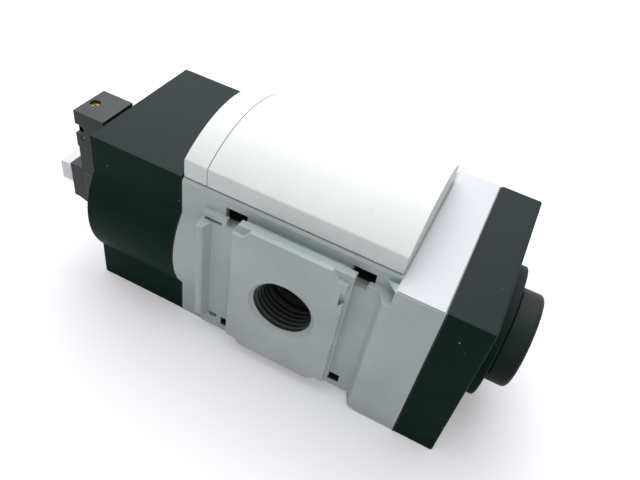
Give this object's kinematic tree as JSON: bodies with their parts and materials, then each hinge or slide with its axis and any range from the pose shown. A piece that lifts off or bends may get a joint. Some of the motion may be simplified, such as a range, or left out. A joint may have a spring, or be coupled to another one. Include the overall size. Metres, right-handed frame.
{
  "type": "safety shut-off valve",
  "caption": "Pneumatic pilot-operated soft-start and exhaust valve module lying on its back, with port flanges, arched front cover, plugged exhaust port and a small solenoid pilot.",
  "frame": {"origin": "middle of the footprint, on the flat back of the housing that lies on the ground", "axes": "+X from the pilot valve to the exhaust plug, -Y out of the supply port, +Y out of the outlet port, +Z from the back to the front cover"},
  "size_m": [0.1632, 0.062, 0.0739],
  "materials": {
    "body_casting": "matte grey lacquer on a fine die-cast skin",
    "cap_plastic": "fine matte grain",
    "cover_plastic": "satin, slightly glossy",
    "label_film": "blank satin film",
    "seal_rubber": "matte",
    "screw_steel": "zinc plated",
    "stem_steel": "ground",
    "piston_plastic": "moulded",
    "bush_plastic": "moulded",
    "seat_aluminium": "turned",
    "spring_steel": "drawn wire",
    "yoke_steel": "zinc plated sheet",
    "pilot_plastic": "fine matte grain",
    "copper_winding": "enamelled wire",
    "brass_parts": "turned",
    "pin_metal": "tin plated",
    "clear_plastic": "milky translucent"
  },
  "bodies": {
    "housing": {"valve_body": "body_casting", "pilot_cap": "cap_plastic", "exhaust_cap": "cap_plastic", "exhaust_plug": "cap_plastic", "front_cover": "cover_plastic", "cover_end_band": "cover_plastic", "label_strip": "label_film", "pilot_cap_gasket": "seal_rubber", "exhaust_cap_gasket": "seal_rubber", "seat_o_rings": "seal_rubber", "bush_o_rings": "seal_rubber", "plug_seal": "seal_rubber", "pilot_gasket": "seal_rubber", "override_o_ring": "seal_rubber", "pilot_cap_screws": "screw_steel", "exhaust_cap_screws": "screw_steel", "pilot_screws": "screw_steel", "pilot_foot_screw": "screw_steel", "core_tube": "stem_steel", "pole_core": "stem_steel", "guide_bush": "bush_plastic", "supply_seat": "seat_aluminium", "exhaust_seat": "seat_aluminium", "duct_plug": "seat_aluminium", "return_spring": "spring_steel", "armature_spring": "spring_steel", "coil_yoke": "yoke_steel", "pilot_valve_body": "pilot_plastic", "solenoid_coil": "pilot_plastic", "coil_winding": "copper_winding", "connector_pins": "pin_metal", "pin_cover": "clear_plastic"},
    "main_valve": {"valve_stem": "stem_steel", "main_piston": "piston_plastic", "piston_seal": "seal_rubber", "piston_nut": "screw_steel", "poppet": "seat_aluminium", "poppet_seals": "seal_rubber", "poppet_nut": "screw_steel"},
    "pilot_armature": {"armature": "stem_steel", "armature_pad": "seal_rubber"},
    "hand_override": {"override_screw": "brass_parts"}
  },
  "joints": [
    {"name": "main_valve_slide", "type": "slide", "parent": "housing", "child": "main_valve", "axis": [1, 0, 0], "range_m": [0, 0.006], "stiffness_N_per_m": 1500, "springref_m": -0.02, "deforming": ["return_spring"]},
    {"name": "pilot_armature_slide", "type": "slide", "parent": "housing", "child": "pilot_armature", "axis": [0, 0, -1], "range_m": [0, 0.0008], "stiffness_N_per_m": 200, "springref_m": -0.002, "deforming": ["armature_spring"]},
    {"name": "hand_override_turn", "type": "hinge", "parent": "housing", "child": "hand_override", "pos_m": [-0.0699, -0.0111, 0.058], "axis": [0, 0, 1], "range_deg": [0, 90]}
  ]
}
